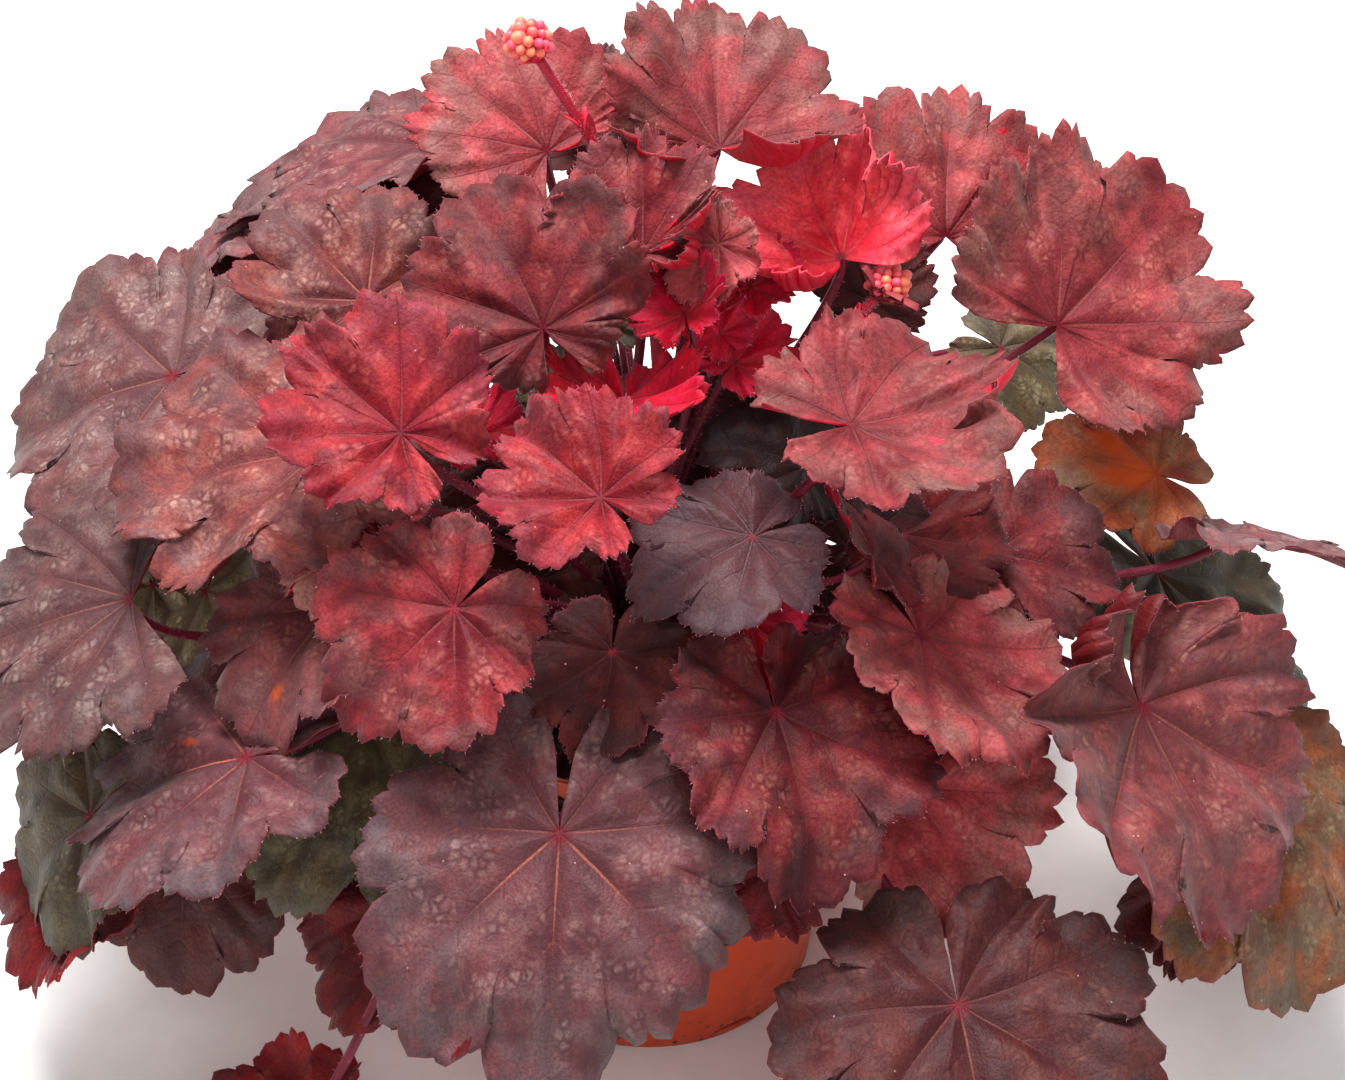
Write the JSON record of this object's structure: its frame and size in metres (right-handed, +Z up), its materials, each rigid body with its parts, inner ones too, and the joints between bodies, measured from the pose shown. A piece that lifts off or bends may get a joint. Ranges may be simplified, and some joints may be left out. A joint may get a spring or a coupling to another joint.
{
  "type": "potted heuchera plant",
  "caption": "Leafy garden perennial in a round nursery pot: a dense mound of lobed, toothed maroon leaves on fleshy stalks over a soil-filled pot, with budding flower stalks.",
  "frame": {"origin": "centre of the pot's flat underside, on the surface that the pot stands on", "axes": "+Z up along the pot's axis; -Y towards the front of the plant, where its largest leaves hang over the rim; +X to the right seen from the front"},
  "size_m": [0.4084, 0.3681, 0.2936],
  "materials": {
    "pot": "satin, moulded",
    "soil": "damp peat, crumbly",
    "crown": "rough bark",
    "leaf_young": "satin leaf skin",
    "leaf_mature": "satin leaf skin",
    "leaf_old": "satin leaf skin",
    "leaf_olive": "satin leaf skin",
    "flower_stalk": "downy green wood",
    "buds": "soft petals in bud"
  },
  "bodies": {
    "root": {"pot": "pot", "soil": "soil", "crown": "crown", "bud_head_1": "buds", "bud_head_2": "buds", "flower_stalk_1": "flower_stalk", "flower_stalk_2": "flower_stalk", "leaf_back_1": "leaf_mature", "leaf_back_2": "leaf_old", "leaf_back_3": "leaf_old", "leaf_back_4": "leaf_olive", "leaf_back_left_1": "leaf_mature", "leaf_back_left_2": "leaf_old", "leaf_back_left_3": "leaf_old", "leaf_back_left_4": "leaf_old", "leaf_front_1": "leaf_old", "leaf_front_2": "leaf_mature", "leaf_front_3": "leaf_mature", "leaf_front_4": "leaf_young", "leaf_front_left_1": "leaf_old", "leaf_front_left_2": "leaf_olive", "leaf_front_left_3": "leaf_olive", "leaf_front_left_4": "leaf_olive", "leaf_front_left_5": "leaf_mature", "leaf_front_left_6": "leaf_mature", "leaf_front_left_7": "leaf_mature", "leaf_front_right_1": "leaf_mature", "leaf_front_right_2": "leaf_mature", "leaf_front_right_3": "leaf_mature", "leaf_front_right_4": "leaf_olive", "leaf_front_right_5": "leaf_mature", "leaf_front_right_6": "leaf_old", "leaf_heart_1": "leaf_young", "leaf_heart_2": "leaf_old", "leaf_heart_3": "leaf_mature", "leaf_heart_4": "leaf_old", "leaf_heart_5": "leaf_mature", "leaf_left_1": "leaf_old", "leaf_left_2": "leaf_mature", "leaf_left_3": "leaf_young", "leaf_left_4": "leaf_old", "leaf_left_5": "leaf_olive", "leaf_left_6": "leaf_mature", "leaf_left_7": "leaf_mature", "leaf_right_1": "leaf_mature", "leaf_right_2": "leaf_mature", "leaf_right_3": "leaf_young", "leaf_right_4": "leaf_mature", "leaf_right_5": "leaf_mature", "leaf_right_6": "leaf_olive", "leaf_right_7": "leaf_old", "leaf_right_8": "leaf_olive", "leaf_right_9": "leaf_olive", "leaf_top_1": "leaf_mature", "leaf_top_2": "leaf_mature", "leaf_top_3": "leaf_mature", "leaf_top_4": "leaf_young", "leaf_top_5": "leaf_mature", "sprout_1": "leaf_young", "sprout_2": "leaf_young"}
  },
  "joints": []
}
